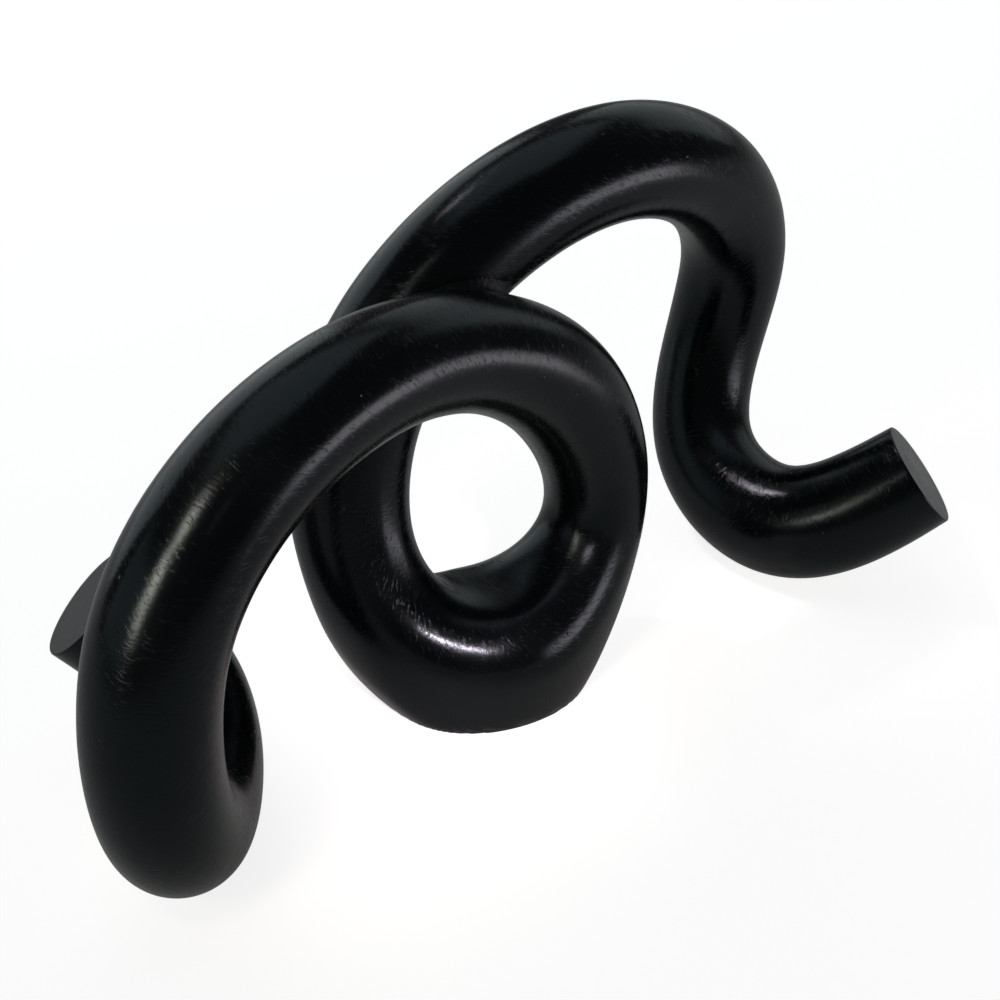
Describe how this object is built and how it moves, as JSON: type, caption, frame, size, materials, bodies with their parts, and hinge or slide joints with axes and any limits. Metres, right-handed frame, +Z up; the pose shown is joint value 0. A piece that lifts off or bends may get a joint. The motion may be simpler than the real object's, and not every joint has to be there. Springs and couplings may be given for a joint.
{
  "type": "knot sculpture",
  "caption": "Free-standing loose-knot ornament: a round black rod that rises from two turned-up feet into crossing arches over a small standing loop.",
  "frame": {"origin": "on the surface that the sculpture stands on, under the middle of its bounding box", "axes": "+Z up, +X along the sculpture's length from the left foot to the right foot, +Y away from the arch that passes in front"},
  "size_m": [0.3128, 0.1216, 0.1656],
  "materials": {
    "black_wood": "stained black and waxed to a soft satin sheen",
    "bare_birch": "bare turned birch",
    "black_filler": "wood filler, stained black with the rod"
  },
  "bodies": {
    "root": {"left_tip": "black_wood", "left_foot": "black_wood", "left_heel": "black_wood", "left_leg": "black_wood", "front_arch": "black_wood", "front_strand": "black_wood", "front_bend": "black_wood", "loop_base": "black_wood", "back_bend": "black_wood", "back_strand": "black_wood", "back_arch": "black_wood", "right_shoulder": "black_wood", "right_leg": "black_wood", "right_foot": "black_wood", "right_tip": "black_wood", "dowel_left_tip_to_left_foot": "bare_birch", "dowel_left_foot_to_left_heel": "bare_birch", "dowel_left_heel_to_left_leg": "bare_birch", "dowel_left_leg_to_front_arch": "bare_birch", "dowel_front_arch_to_front_strand": "bare_birch", "dowel_front_strand_to_front_bend": "bare_birch", "dowel_front_bend_to_loop_base": "bare_birch", "dowel_loop_base_to_back_bend": "bare_birch", "dowel_back_bend_to_back_strand": "bare_birch", "dowel_back_strand_to_back_arch": "bare_birch", "dowel_back_arch_to_right_shoulder": "bare_birch", "dowel_right_shoulder_to_right_leg": "bare_birch", "dowel_right_leg_to_right_foot": "bare_birch", "dowel_right_foot_to_right_tip": "bare_birch", "crossing_pin": "bare_birch", "crossing_filler": "black_filler"}
  },
  "joints": []
}
